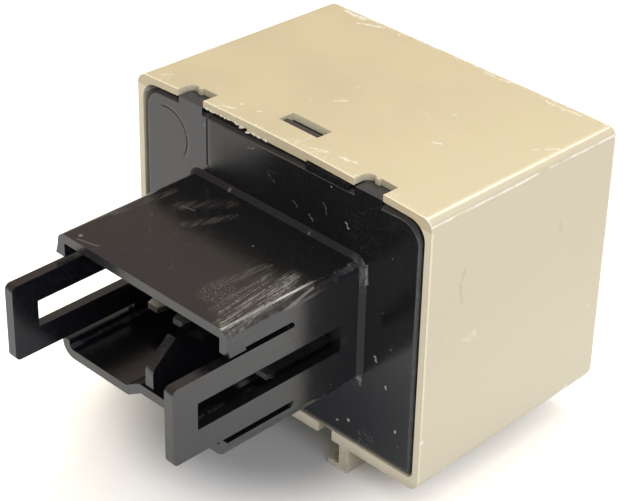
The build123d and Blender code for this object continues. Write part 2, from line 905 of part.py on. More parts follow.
# The two relays and the parts beside them
for side, centre in (("left", -relay_offset), ("right", relay_offset)):
    make_yoke(f"yoke_{side}", centre)
    make_bobbin(f"bobbin_{side}", centre)
    make_winding(f"winding_{side}", centre)
    make_core(f"core_{side}", centre)
    make_armature(f"armature_{side}", centre)
    make_leaf(f"contact_leaf_{side}", centre)
    make_button(f"moving_contact_{side}", centre)
    lamp_button = closed_contact - contact_gap - fixed_button
    make_post(f"lamp_contact_{side}", centre, lamp_post_setback, lamp_button - post_thickness, lamp_button)
    rest_button = rest_contact + contact_gap
    make_post(f"rest_contact_{side}", centre, rest_post_setback, rest_button + fixed_button, rest_button)
    make_spring(f"return_spring_{side}", centre)
    place = resistor_offset if centre > 0 else -resistor_offset
    resistor_sizes = (resistor_radius, resistor_length, resistor_span, resistor_waist_ratio)
    make_axial(f"resistor_{side}", flank(place), resistor_setback, *resistor_sizes)
    diode_sizes = (diode_radius, diode_length, diode_span, diode_waist_ratio)
    make_axial(f"diode_{side}", facing(diode_setback), centre, *diode_sizes)

# Control chip: moulded body with bent legs
chip_low = board_high + chip_standoff
with BuildPart() as chip:
    with BuildSketch(level(chip_low)):
        with Locations((0, chip_setback)):
            Rectangle(chip_width, chip_length)
    extrude(amount=chip_height)
    with BuildSketch(level(chip_low + chip_height)):
        with Locations((0, chip_setback - chip_length / 2)):
            Circle(chip_mark_radius)
    extrude(amount=-chip_leg_thickness, mode=Mode.SUBTRACT)
    leg_height = chip_low + chip_height / 2
    with BuildSketch(level(leg_height)):
        with Locations((0, chip_setback)):
            with GridLocations(0, chip_pitch, 1, chip_rows):
                Rectangle(chip_leg_span + chip_leg_thickness, chip_leg_width)
    extrude(amount=chip_leg_thickness)
    with BuildSketch(level(leg_height)):
        with Locations(chip_pins):
            Rectangle(chip_leg_thickness, chip_leg_width)
    extrude(amount=board_low - lead_tail - leg_height)
chip.part.label = "control_chip"
export_step(chip.part, "parts/control_chip.step")

# Timing capacitor: round can with a crimp near its foot, on two leads
with BuildPart() as capacitor:
    can_low = board_high + part_standoff
    can_top = can_low + capacitor_height
    with BuildSketch(facing(capacitor_setback)) as can:
        with BuildLine():
            crimp = can_low + crimp_rise
            Polyline(
                (0, can_low),
                (capacitor_radius, can_low),
                (capacitor_radius, crimp - crimp_depth),
                (capacitor_radius - crimp_depth, crimp),
                (capacitor_radius, crimp + crimp_depth),
                (capacitor_radius, can_top),
                (0, can_top),
                close=True,
            )
        make_face()
        rim_corner = can.vertices().sort_by_distance((capacitor_radius, can_top))
        chamfer(rim_corner[0], capacitor_rim)
    revolve(axis=Axis((0, rim_y + capacitor_setback, 0), (0, 0, 1)))
    with BuildSketch(level(can_low)):
        with Locations((0, capacitor_setback)):
            with GridLocations(capacitor_pitch, 0, 2, 1):
                Circle(lead_radius)
    extrude(amount=board_low - lead_tail - can_low)
capacitor.part.label = "timing_capacitor"
export_step(capacitor.part, "parts/timing_capacitor.step")

# Current shunt: thick bare wire bent into a hoop
with BuildPart() as shunt:
    with BuildLine(facing(shunt_setback)) as hoop:
        foot = board_low - lead_tail
        head = board_high + shunt_rise
        FilletPolyline(
            (-shunt_span / 2, foot),
            (-shunt_span / 2, head),
            (shunt_span / 2, head),
            (shunt_span / 2, foot),
            radius=shunt_bend,
        )
    with BuildSketch(Plane(origin=hoop.line @ 0, z_dir=hoop.line % 0)):
        RegularPolygon(shunt_radius, lead_side_count)
    sweep()
shunt.part.label = "current_shunt"
export_step(shunt.part, "parts/current_shunt.step")
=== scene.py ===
import json
from math import cos, pi, radians, sin
from random import Random

import bpy
from mathutils import Matrix, Vector


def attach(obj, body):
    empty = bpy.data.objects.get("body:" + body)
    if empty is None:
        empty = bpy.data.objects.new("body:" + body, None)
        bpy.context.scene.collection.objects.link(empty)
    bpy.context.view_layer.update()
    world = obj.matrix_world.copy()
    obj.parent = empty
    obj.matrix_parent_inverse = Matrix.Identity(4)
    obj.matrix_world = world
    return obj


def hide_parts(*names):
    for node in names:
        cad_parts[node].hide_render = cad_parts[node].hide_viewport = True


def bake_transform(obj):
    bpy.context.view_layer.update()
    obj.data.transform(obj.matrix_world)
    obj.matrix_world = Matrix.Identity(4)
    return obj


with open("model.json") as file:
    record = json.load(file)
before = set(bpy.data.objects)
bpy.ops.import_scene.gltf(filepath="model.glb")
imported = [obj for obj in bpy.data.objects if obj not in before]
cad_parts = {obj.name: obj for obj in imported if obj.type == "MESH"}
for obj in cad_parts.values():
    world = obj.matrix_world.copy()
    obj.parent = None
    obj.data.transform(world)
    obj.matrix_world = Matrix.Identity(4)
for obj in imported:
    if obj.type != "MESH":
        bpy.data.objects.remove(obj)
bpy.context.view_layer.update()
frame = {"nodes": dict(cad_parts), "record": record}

print("frame loaded:", len(frame["nodes"]), "nodes")


# shader maths

class Wire:  # one output of a node, so that shader maths reads as a plain sum
    def __init__(self, tree, socket):
        self.tree = tree
        self.socket = socket

    def node(self, kind, settings, values, output=0):
        made = self.tree.nodes.new(kind)
        for name, value in settings.items():
            setattr(made, name, value)
        for name, value in values.items():
            if isinstance(value, Wire):
                self.tree.links.new(value.socket, made.inputs[name])
            else:
                made.inputs[name].default_value = value
        return Wire(self.tree, made.outputs[output])

    def math(self, operation, *values):
        return self.node("ShaderNodeMath", {"operation": operation}, dict(enumerate(values)))

    def __add__(self, other):
        return self.math("ADD", self, other)

    def __radd__(self, other):
        return self.math("ADD", other, self)

    def __sub__(self, other):
        return self.math("SUBTRACT", self, other)

    def __rsub__(self, other):
        return self.math("SUBTRACT", other, self)

    def __mul__(self, other):
        return self.math("MULTIPLY", self, other)

    def __rmul__(self, other):
        return self.math("MULTIPLY", other, self)

    def __truediv__(self, other):
        return self.math("DIVIDE", self, other)

    def least(self, other):
        return self.math("MINIMUM", self, other)

    def most(self, other):
        return self.math("MAXIMUM", self, other)

    def size(self):
        return self.math("ABSOLUTE", self)

    def step(self, low, high):  # soft step from 0 at low to 1 at high
        values = {"Value": self, "From Min": low, "From Max": high}
        return self.node("ShaderNodeMapRange", {"interpolation_type": "SMOOTHSTEP"}, values)

    def vector(self, operation, *values, output=0):
        numbered = dict(enumerate((self,) + values))
        return self.node("ShaderNodeVectorMath", {"operation": operation}, numbered, output)

    def parts(self):
        split = self.node("ShaderNodeSeparateXYZ", {}, {0: self})
        return [Wire(self.tree, out) for out in split.socket.node.outputs]

    def noise(self, scale, detail=3.0, roughness=0.5):
        values = {"Vector": self, "Scale": scale, "Detail": detail, "Roughness": roughness}
        return self.node("ShaderNodeTexNoise", {}, values)

    def nicks(self, scale, radius):  # scattered small specks, about one in each cell
        cells = self.node("ShaderNodeTexVoronoi", {}, {"Vector": self, "Scale": scale})
        return cells.step(radius, radius * 0.5)

    def hairlines(self, scale, width):  # long thin wavy lines, along the least stretched axis
        return (self.noise(scale, 1) - 0.5).size().step(width, width * 0.3)

    def ripple(self, length):  # a sine wave of this length
        return self.math("SINE", self * (2 * pi / length))

    def stretch(self, x, y, z):
        return self.vector("MULTIPLY", (x, y, z))

    def blend(self, first, second):  # this wire is the share of the second colour
        return self.node("ShaderNodeMix", {"data_type": "RGBA"}, {0: self, 6: first, 7: second}, 2)

    def band(self, middle, width):  # 1 at the middle, 0 past the width
        return (self - middle).size().step(width, width * 0.3)

    def line(self, start, end, width):  # soft line between two places, in mm
        start, end = Vector(start), Vector(end)
        run = end - start
        fromStart = self.vector("SUBTRACT", tuple(start))
        along = fromStart.vector("DOT_PRODUCT", tuple(run), output=1) / run.length_squared
        along = along.most(0).least(1)
        nearest = along.node("ShaderNodeVectorMath", {"operation": "SCALE"}, {0: tuple(run), 3: along})
        away = fromStart.vector("SUBTRACT", nearest).vector("LENGTH", output=1)
        return away.step(width, width * 0.3)

    def spot(self, centre, radius):  # soft round spot, in mm
        away = self.vector("SUBTRACT", centre).vector("LENGTH", output=1)
        return away.step(radius, radius * 0.4)

    def marks(self, lines, spots, flatten):  # all listed marks of one side, its depth left out
        side = self.stretch(*flatten)
        total = None
        for start, end, width, strength in lines:
            mark = side.line(start, end, width) * strength
            total = mark if total is None else total.most(mark)
        for centre, radius, strength in spots:
            mark = side.spot(centre, radius) * strength
            total = mark if total is None else total.most(mark)
        return total


def newMaterial(name, **fixed):  # fixed values go on the shader's own sockets
    material = bpy.data.materials.new(name)
    material.use_nodes = True
    tree = material.node_tree
    shader = tree.nodes["Principled BSDF"]
    for socket, value in fixed.items():
        shader.inputs[socket].default_value = value
    coords = tree.nodes.new("ShaderNodeTexCoord")
    place = Wire(tree, coords.outputs["Object"]).vector("MULTIPLY", (1000, 1000, 1000))  # in mm
    return material, shader, place


def feed(shader, socket, wire):
    shader.id_data.links.new(wire.socket, shader.inputs[socket])


def emboss(shader, height):  # height in mm, as a bump
    bump = height.node("ShaderNodeBump", {}, {"Strength": 1.0, "Distance": 0.001, "Height": height})
    feed(shader, "Normal", bump)


def facing(place):  # the way the surface looks, as three numbers
    geometry = place.tree.nodes.new("ShaderNodeNewGeometry")
    return Wire(place.tree, geometry.outputs["Normal"]).parts()


def turnedAway(normal):  # 0 on the straight sides, up to 0.3 on the middle of a rounded edge
    x, y, z = [axis.size() for axis in normal]
    return 1 - x.most(y).most(z)


# camera

view = {
    "place": (0.12212, -0.12087, 0.12811),
    "turn": 0.7777,
    "dip": 0.5587,
    "roll": 0.0222,
    "lens": 119.1,
    "sensorWidth": 36,
    "nearest": 0.005,
}


def addCamera():
    turn, dip, roll = view["turn"], view["dip"], view["roll"]
    ahead = Vector((-sin(turn) * cos(dip), cos(turn) * cos(dip), -sin(dip)))
    right = Vector((cos(turn), sin(turn), 0))
    up = right.cross(ahead)
    tippedRight = cos(roll) * right + sin(roll) * up
    tippedUp = cos(roll) * up - sin(roll) * right
    lensData = bpy.data.cameras.new("camera")
    lensData.lens = view["lens"]
    lensData.sensor_width = view["sensorWidth"]
    lensData.clip_start = view["nearest"]
    camera = bpy.data.objects.new("camera", lensData)
    bpy.context.scene.collection.objects.link(camera)
    turned = Matrix((tippedRight, tippedUp, -ahead)).transposed().to_4x4()
    camera.matrix_world = Matrix.Translation(view["place"]) @ turned
    bpy.context.scene.camera = camera


addCamera()
print("camera placed")


# floor, room and lamps

room = {
    "floorSize": 6.0,
    "floorDrop": 0.00002,
    "floorColour": (0.84, 0.835, 0.83),
    "floorSeen": 1.75,  # how much paler the camera sees the floor, away from the relay
    "floorUnder": 0.75,  # the same close under the relay, a painted shadow
    "floorMirrored": (1.33, 1.37, 1.46),  # how its mirror image on the part is tinted
    "mirroredUnder": 0.5,  # painted shadow: how much darker that image is close under the relay
    "shadeCentre": (-0.0031, 0.0023, 0),
    "shadeEdge": (0.011, 0.0205),  # distances from that centre, between which the painted shadow fades and the floor pales
    "mirroredEdge": (0.012, 0.030),  # the same for the mirror image
    "skyAbove": (1.16, 1.06, 0.88, 1),
    "skyLow": (0.34, 0.375, 0.44, 1),
    "mirroredColour": (0.44, 0.36, 0.31, 1),
    "backdropColour": (1.0, 1.0, 1.0, 1),
    "lampAim": (0, 0, 0.015),
}

lamps = [  # name, place, width, power, colour
    ("backLamp", (-0.16, 0.42, 0.54), 0.20, 1.1, (1.0, 0.97, 0.90)),
    ("sideLamp", (0.33, -0.10, 0.19), 0.24, 0.40, (0.86, 0.96, 1.19)),
]


def addRoom():
    bpy.ops.object.select_all(action="DESELECT")
    bpy.ops.mesh.primitive_plane_add(size=room["floorSize"], location=(0, 0, -room["floorDrop"]))
    bpy.ops.object.transform_apply(location=True, rotation=True, scale=True)
    floor = bpy.context.object
    floor.name = "floor"
    material = bpy.data.materials.new("paleFloor")
    material.use_nodes = True
    tree = material.node_tree
    tree.nodes.clear()
    light = tree.nodes.new("ShaderNodeLightPath")
    straight = Wire(tree, light.outputs["Is Camera Ray"])
    mirrored = Wire(tree, light.outputs["Is Glossy Ray"])
    through = Wire(tree, light.outputs["Is Transmission Ray"])
    coords = tree.nodes.new("ShaderNodeTexCoord")
    # painted shadow: the floor's colour darkens close under the relay, as the camera sees it and in its
    # mirror image
    apart = Wire(tree, coords.outputs["Object"]).vector("DISTANCE", room["shadeCentre"], output=1)
    away = apart.step(*room["shadeEdge"])
    paler = away * (room["floorSeen"] - room["floorUnder"]) + room["floorUnder"]
    shown = straight.most(through) * (paler - 1) + 1
    scaled = {0: room["floorColour"], 3: shown}
    colour = shown.node("ShaderNodeVectorMath", {"operation": "SCALE"}, scaled)
    darker = tuple(part * room["mirroredUnder"] for part in room["floorMirrored"])
    tinted = apart.step(*room["mirroredEdge"]).blend(darker + (1,), room["floorMirrored"] + (1,))
    colour = mirrored.blend(colour, colour.vector("MULTIPLY", tinted))
    matt = colour.node("ShaderNodeBsdfDiffuse", {}, {"Color": colour})
    output = tree.nodes.new("ShaderNodeOutputMaterial")
    tree.links.new(matt.socket, output.inputs["Surface"])
    floor.data.materials.append(material)

    world = bpy.data.worlds.new("room")
    bpy.context.scene.world = world
    world.use_nodes = True
    tree = world.node_tree
    light = tree.nodes.new("ShaderNodeLightPath")
    straight = Wire(tree, light.outputs["Is Camera Ray"])
    mirrored = Wire(tree, light.outputs["Is Glossy Ray"])
    geometry = tree.nodes.new("ShaderNodeNewGeometry")
    height = Wire(tree, geometry.outputs["Position"]).parts()[2]
    colour = height.step(0, 1).blend(room["skyLow"], room["skyAbove"])
    colour = mirrored.blend(colour, room["mirroredColour"])
    colour = straight.blend(colour, room["backdropColour"])
    tree.links.new(colour.socket, tree.nodes["Background"].inputs["Color"])

    for name, place, width, power, colour in lamps:
        lampData = bpy.data.lights.new(name, "AREA")
        lampData.shape = "SQUARE"
        lampData.size = width
        lampData.energy = power
        lampData.color = colour
        lamp = bpy.data.objects.new(name, lampData)
        bpy.context.scene.collection.objects.link(lamp)
        aim = Vector(room["lampAim"]) - Vector(place)
        lamp.location = place
        lamp.rotation_euler = aim.to_track_quat("-Z", "Y").to_euler()


addRoom()
bpy.context.scene.view_settings.view_transform = "Standard"
print("floor, room and lamps placed")


# moulded shells: merged copies of the solids, with fine bevels

merging = {  # in metres and degrees
    "together": 0.000002,
    "flatBelow": 0.4,
    "bevelAbove": 35,
    "smoothBelow": 40,
    "sideWeight": 100,
}


def mergedCopy(nodeName, pieceName, bevel, segments):
    bpy.ops.object.select_all(action="DESELECT")
    piece = bpy.data.objects.new(pieceName, frame["nodes"][nodeName].data.copy())
    bpy.context.scene.collection.objects.link(piece)
    bpy.context.view_layer.objects.active = piece
    piece.select_set(True)
    if piece.data.has_custom_normals:
        bpy.ops.mesh.customdata_custom_splitnormals_clear()
    bpy.ops.object.mode_set(mode="EDIT")
    bpy.ops.mesh.select_all(action="SELECT")
    bpy.ops.mesh.remove_doubles(threshold=merging["together"])
    bpy.ops.mesh.dissolve_limited(angle_limit=radians(merging["flatBelow"]))
    bpy.ops.mesh.select_all(action="DESELECT")
    bpy.ops.object.mode_set(mode="OBJECT")
    softened = piece.modifiers.new("softEdges", "BEVEL")
    softened.width = bevel
    softened.segments = segments
    softened.limit_method = "ANGLE"
    softened.angle_limit = radians(merging["bevelAbove"])
    softened.miter_outer = "MITER_ARC"
    bpy.ops.object.modifier_apply(modifier=softened.name)
    bpy.ops.object.shade_smooth_by_angle(angle=radians(merging["smoothBelow"]))
    flat = piece.modifiers.new("flatSides", "WEIGHTED_NORMAL")
    flat.weight = merging["sideWeight"]
    flat.keep_sharp = True
    bpy.ops.object.modifier_apply(modifier=flat.name)
    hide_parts(nodeName)
    return piece


chewed = {  # frayed plastic on the front lip of the cover's top, in mm
    "seed": 11,
    "count": 54,
    "from": -9.8,
    "to": -1.4,
    "front": -1.93,
    "thickFrom": -4.0,
    "underThin": 33.32,
    "underThick": 33.12,
    "wander": (-0.03, 0.05),
    "upper": 33.95,
    "upperShare": 0.3,
    "upperReach": 0.084,
    "smallest": 0.06,
    "largest": 0.19,
    "shape": (1.8, 0.8, 0.9),
    "tilt": (0.4, 0.5, 0.3),
    "flakes": [  # place, half sizes
        ((-4.7, -2.0, 33.28), (0.55, 0.13, 0.15)),
        ((-3.9, -2.02, 33.04), (0.42, 0.12, 0.12)),
    ],
}


def frayLip(piece):
    chance = Random(chewed["seed"])
    crumbs = list(chewed["flakes"])
    for _ in range(chewed["count"]):
        spread = chewed["largest"] - chewed["smallest"]
        reach = chewed["smallest"] + spread * chance.random() ** 2
        across = chance.uniform(chewed["from"], chewed["to"])
        under = chewed["underThick" if across > chewed["thickFrom"] else "underThin"]
        if chance.random() < chewed["upperShare"]:
            height, reach = chewed["upper"], chewed["upperReach"]
        else:
            height = under + chance.uniform(*chewed["wander"])
        halves = tuple(reach * share for share in chewed["shape"])
        crumbs.append(((across, chewed["front"], height), halves))
    made = []
    for place, halves in crumbs:
        bpy.ops.object.select_all(action="DESELECT")
        turn = tuple(chance.uniform(-most, most) for most in chewed["tilt"])
        bpy.ops.mesh.primitive_ico_sphere_add(
            subdivisions=1, radius=0.001, location=Vector(place) / 1000, rotation=turn, scale=halves)
        bpy.ops.object.transform_apply(location=True, rotation=True, scale=True)
        made.append(bpy.context.object)
    bpy.ops.object.select_all(action="DESELECT")
    for crumb in made:
        crumb.select_set(True)
    piece.select_set(True)
    bpy.context.view_layer.objects.active = piece
    bpy.ops.object.join()


coverPiece = mergedCopy("cover", "coverShell", bevel=0.00012, segments=2)
frayLip(coverPiece)
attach(coverPiece, "housing")
basePiece = mergedCopy("base", "baseMoulding", bevel=0.00010, segments=2)
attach(basePiece, "housing")
print("shells dressed:", len(coverPiece.data.polygons), len(basePiece.data.polygons))


def dress(piece, material):
    piece.data.materials.clear()
    piece.data.materials.append(material)


# cover: tan moulded plastic, worn pale along its edges, with painted highlight lines and painted light
# and shade

coverLook = {
    "tan": (0.66, 0.575, 0.385, 1),
    "tanDeep": (0.615, 0.535, 0.355, 1),
    "tanSunned": (0.70, 0.62, 0.42, 1),
    "tanSide": (0.645, 0.578, 0.422, 1),
    "tanLow": (0.74, 0.675, 0.515, 1),
    "tanRim": (0.86, 0.78, 0.60, 1),
    "tanLip": (0.66, 0.56, 0.37, 1),
    "tanWindow": (0.99, 0.93, 0.70, 1),
    "soiled": (0.36, 0.31, 0.235, 1),
    "worn": (0.97, 0.95, 0.87, 1),
    "scratched": (0.50, 0.43, 0.30, 1),
    "edgeWear": 0.8,
}
coverPlaces = {  # places in mm, where a mask is 0 and where it is 1
    "rim": (-1.62, -1.82),
    "sunned": (-6, 20),
    "lowSide": (24, 5),
    "paleLow": (26, 6),
    "lip": (32.2, 32.5),
    "windowAbove": (32.0, 32.4),
    "windowBehind": (0.5, 1.0),
    "windowAhead": (6, 5),
    "grimy": (4.2, 2.4),
    "rightEdge": (18.2, 19.2),
    "upperLine": (32.6, 32.9),
    "lowerLine": (31.2, 31.8),
    "underUpper": (32.9, 32.6),
    "rearRight": (18.6, 19.3),
    "rearBack": (24.2, 24.8),
    "rearBelow": (32, 31),
    "backEdge": (24.2, 25.0),
    "backTop": (32.0, 33.0),
    "mouth": (-0.4, -1.5),
    "frayed": (-1.965, -2.02),
}

topLines = [  # start, end, width, strength, in mm on the top
    ((2.1, 1.0, 0), (2.1, -1.5, 0), 0.16, 0.35),
    ((3.6, -0.9, 0), (5.3, -0.3, 0), 0.22, 0.6),
    ((4.4, -1.3, 0), (4.9, -0.2, 0), 0.14, 0.5),
    ((6.7, -0.1, 0), (8.4, 0.3, 0), 0.26, 1.0),
    ((-1.9, 7.9, 0), (-1.2, 8.7, 0), 0.20, 0.7),
    ((4.7, 12.7, 0), (6.1, 12.8, 0), 0.12, 0.4),
    ((6.1, 12.8, 0), (7.0, 12.1, 0), 0.12, 0.4),
    ((10.0, 8.7, 0), (10.9, 9.3, 0), 0.17, 0.9),
    ((-8.3, -1.2, 0), (-7.0, -0.8, 0), 0.24, 0.7),
    ((-17.7, -0.7, 0), (-17.0, -0.1, 0), 0.18, 0.7),
    ((-16.4, 24.4, 0), (-13.6, 24.2, 0), 0.34, 1.0),
    ((-13.4, 23.2, 0), (-10.9, 24.3, 0), 0.28, 0.9),
    ((-14.6, 24.6, 0), (-12.2, 24.7, 0), 0.22, 0.8),
    ((3.2, 24.2, 0), (6.4, 24.5, 0), 0.22, 0.6),
    ((11.4, 24.0, 0), (15.6, 24.3, 0), 0.20, 0.7),
    ((17.9, 16.3, 0), (18.6, 17.2, 0), 0.18, 0.8),
]
topSpots = [
    ((-4.8, 0.7, 0), 0.28, 1.0),
    ((-14.3, 0.9, 0), 0.22, 0.6),
    ((-7.3, 0.4, 0), 0.30, 0.7),
    ((-2.6, 12.0, 0), 0.26, 0.5),
    ((7.7, 14.8, 0), 0.22, 0.5),
    ((17.3, 15.5, 0), 0.20, 0.6),
    ((-8.5, 24.3, 0), 0.30, 1.0),
    ((-4.0, 23.6, 0), 0.18, 0.6),
]
sideLines = [  # on the right side
    ((0, 3.6, 18.3), (0, 5.3, 18.0), 0.5, 0.25),
    ((0, 4.9, 18.1), (0, 5.2, 18.7), 0.3, 0.5),
]
sideSpots = [
    ((0, -1.6, 8.9), 0.35, 1.0),
    ((0, 23.5, 13.1), 0.22, 0.9),
    ((0, 20.7, 4.4), 0.18, 0.8),
]
sideScratches = [
    ((0, 2.9, 26.2), (0, 2.6, 24.1), 0.16, 0.7),
    ((0, 2.6, 24.1), (0, 3.2, 22.3), 0.14, 0.5),
    ((0, 17.2, 25.6), (0, 17.5, 24.6), 0.22, 0.35),
]


def makeCoverPlastic():
    material, shader, place = newMaterial("wornTanPlastic", IOR=1.5)
    x, y, z = place.parts()
    normal = facing(place)
    onTop = normal[2].step(0.6, 0.9)
    onRight = normal[0].step(0.6, 0.9)
    cloudy = place.noise(0.11, 2)
    fine = place.noise(2.4, 4)
    mottled = (cloudy * 0.8 + fine * 0.2).step(0.36, 0.68)
    colour = mottled.blend(coverLook["tan"], coverLook["tanDeep"])
    rim = y.step(*coverPlaces["rim"])
    # painted light: the top is lighter towards the right
    colour = (x.step(*coverPlaces["sunned"]) * onTop * 0.9).blend(colour, coverLook["tanSunned"])
    # painted reflection: the upright sides get a paler, less saturated sheen tone, more of it lower
    # down; near the bottom they get painted light bounced from the floor
    upright = 1 - onTop
    sideSheen = upright * (0.85 + z.step(*coverPlaces["lowSide"]) * 0.15)
    colour = sideSheen.blend(colour, coverLook["tanSide"])
    colour = (z.step(*coverPlaces["paleLow"]) * upright * 0.5).blend(colour, coverLook["tanLow"])
    # painted light on the front face of the rim, and painted shade on its upper lip
    colour = (rim * 0.95).blend(colour, coverLook["tanRim"])
    lip = rim * z.step(*coverPlaces["lip"]) * upright
    colour = (lip * 0.9).blend(colour, coverLook["tanLip"])
    # painted light on the back wall of the window
    litWindowWall = normal[1].step(-0.6, -0.9) * z.step(*coverPlaces["windowAbove"])
    litWindowWall = litWindowWall * y.step(*coverPlaces["windowBehind"]) * y.step(*coverPlaces["windowAhead"])
    colour = litWindowWall.blend(colour, coverLook["tanWindow"])
    # painted shade with mottled dirt on the low faces and rails under the cover
    shadeAndDirt = z.step(*coverPlaces["grimy"]) * (place.noise(0.8, 4).step(0.3, 0.7) * 0.4 + 0.35)
    colour = shadeAndDirt.blend(colour, coverLook["soiled"])
    away = turnedAway(normal)
    ridgeHighlight = away.step(0.03, 0.055) * away.step(0.15, 0.10)  # two painted highlight lines beside each rounded edge
    patchy = place.stretch(1, 0.45, 1).noise(0.9, 4, 0.6)
    # painted highlight lines along the right top edge, with a paler band between them, and along the
    # rear right edge, broken into patches
    beside = x.step(*coverPlaces["rightEdge"])
    upper = beside * z.step(*coverPlaces["upperLine"])
    lowerHighlight = beside * z.step(*coverPlaces["lowerLine"]) * z.step(*coverPlaces["underUpper"])
    rearHighlight = x.step(*coverPlaces["rearRight"]) * y.step(*coverPlaces["rearBack"])
    rearHighlight = rearHighlight * z.step(*coverPlaces["rearBelow"])
    kept = patchy.step(0.50, 0.60).most(rearHighlight * patchy.step(0.36, 0.44))
    kept = kept.most(upper * patchy.step(0.34, 0.40)).most(lowerHighlight * patchy.step(0.40, 0.52) * 0.7)
    band = away.step(0.15, 0.20) * upper.most(lowerHighlight) * 0.18
    backEdge = y.step(*coverPlaces["backEdge"]) * z.step(*coverPlaces["backTop"])
    crumbled = backEdge * place.stretch(1, 1.6, 1).noise(1.1, 5, 0.75).step(0.51, 0.57)
    flaky = place.noise(2.2, 5, 0.7)
    mouth = y.step(*coverPlaces["mouth"]) * onTop
    mouth = mouth * place.stretch(0.7, 1, 1).noise(0.5, 2).step(0.48, 0.62)
    rimChips = (rim.most(mouth) * onTop) * flaky.step(0.54, 0.60)
    frontLip = rim * away.step(0.02, 0.06) * patchy.step(0.42, 0.52)
    frayed = y.step(*coverPlaces["frayed"]) * 0.65
    # worn joins edge wear, chips and marks with the painted highlight lines
    worn = (ridgeHighlight * kept).most(crumbled).most(rimChips * 0.9)
    worn = worn.most(frontLip * 0.7).most(band).most(frayed)
    jitter = place.noise(1.5, 3, 0.6) - 0.5
    shift = jitter.node("ShaderNodeCombineXYZ", {}, {0: jitter, 1: jitter * 1.3, 2: jitter})
    shaken = place.vector("ADD", shift)
    topMarks = shaken.marks(topLines, topSpots, (1, 1, 0)) * onTop
    sideMarks = shaken.marks(sideLines, sideSpots, (0, 1, 1)) * onRight
    handMarks = topMarks.most(sideMarks) * flaky.step(0.36, 0.52)
    worn = worn.most(handMarks).most(place.nicks(0.16, 0.022) * 0.6)
    worn = worn * coverLook["edgeWear"]
    scratched = shaken.marks(sideScratches, [], (0, 1, 1)) * onRight
    scratched = scratched.most(place.stretch(1, 0.3, 1).hairlines(0.35, 0.0012) * 0.12)
    colour = scratched.blend(colour, coverLook["scratched"])
    colour = worn.blend(colour, coverLook["worn"])
    feed(shader, "Base Color", colour)
    feed(shader, "Roughness", fine * 0.14 + 0.29 + scratched * 0.15 - ridgeHighlight * 0.06)
    waves = place.noise(1.1, 3) * 0.008 + place.noise(7, 2) * 0.0016
    emboss(shader, waves - worn * 0.012 - scratched * 0.01)
    return material


dress(coverPiece, makeCoverPlastic())


# base: glossy black moulding, scuffed on top of its plug

baseLook = {
    "black": (0.0045, 0.005, 0.0068, 1),
    "blackWorn": (0.010, 0.0105, 0.0125, 1),
    "edgeGrey": (0.060, 0.062, 0.066, 1),
    "scuffed": (0.30, 0.285, 0.255, 1),
    "dust": (0.52, 0.52, 0.50, 1),
    "ringX": -15.55,
    "ringZ": 28.3,
    "ringRadius": 3.0,
    "grooveX": -9.5,
    "rootCornerRadius": 2.6,
    "speckleRadius": 2.6,
    "armRubRadius": 1.5,
}
basePlaces = {  # places in mm, where a mask is 0 and where it is 1
    "underTabs": (32.2, 31.6),
    "tabTop": (31.4, 31.8),
    "pastPlate": (-2.2, -2.6),
    "plateRight": (12, 15),
    "rootAhead": (-4.2, -3.8),
    "rootBehind": (-1.8, -2.0),
    "rootSides": (15, 14),
    "rootBelow": (28, 27),
    "insideSides": (11.2, 10.8),
    "insideBelow": (24.9, 24.6),
    "insideAbove": (12.2, 12.8),
    "insideAhead": (-2.0, -3.0),
    "shroudTop": (24.6, 25.0),
    "shroudAhead": (-1.6, -2.2),
    "strokeFront": (-20.0, -18.2),
    "strokeBack": (-7.0, -9.6),
    "strokeLeft": (9.3, 10.2),
    "strokeRight": (12.6, 11.9),
    "innerFront": (-18.6, -17),
    "innerBack": (-8.2, -11.5),
    "innerLeft": (7.7, 8.5),
    "innerRight": (10.2, 9.4),
    "dashesAbove": (26, 27.5),
    "grooveAbove": (27.0, 27.1),
    "panelRight": (-9.6, -9.3),
    "panelLeft": (3, -8),
    "panelAbove": (24.5, 30),
    "rootCorner": (12.4, -2.6, 24.6),
    "speckles": (6.6, -15.4, 0),
    "armRub": (11.9, -22.3, 22.6),
    "lowSmudge": (13.0, -1.9, 5.3),
    "highSmudge": (11.5, -1.9, 28.3),
}

plateLines = [  # on the plate, x and z in mm
    ((13.7, 0, 15.9), (14.0, 0, 15.4), 0.13, 0.8),
    ((12.3, 0, 25.4), (12.4, 0, 23.4), 0.16, 0.35),
    ((12.0, 0, 12.7), (12.0, 0, 11.7), 0.20, 0.35),
    ((15.3, 0, 13.2), (15.4, 0, 12.9), 0.13, 0.8),
    ((-1.2, 0, 29.9), (-0.2, 0, 29.0), 0.08, 0.25),
    ((9.4, 0, 28.8), (9.8, 0, 28.4), 0.16, 0.7),
    ((6.5, 0, 29.8), (6.9, 0, 28.6), 0.08, 0.25),
    ((4.6, 0, 27.6), (5.2, 0, 27.2), 0.10, 0.45),
    ((2.4, 0, 28.2), (3.0, 0, 27.7), 0.09, 0.35),
    ((-3.9, 0, 31.3), (-3.0, 0, 31.6), 0.08, 0.3),
]
plateSpots = [
    ((10.6, 0, 6.7), 0.26, 1.0),
    ((9.1, 0, 5.9), 0.15, 0.6),
    ((16.8, 0, 8.6), 0.22, 0.9),
    ((17.3, 0, 7.1), 0.13, 0.5),
    ((15.7, 0, 17.6), 0.13, 0.8),
    ((7.5, 0, 31.9), 0.12, 0.8),
    ((14.6, 0, 21.2), 0.09, 0.4),
    ((-12.9, 0, 26.0), 0.08, 0.3),
]
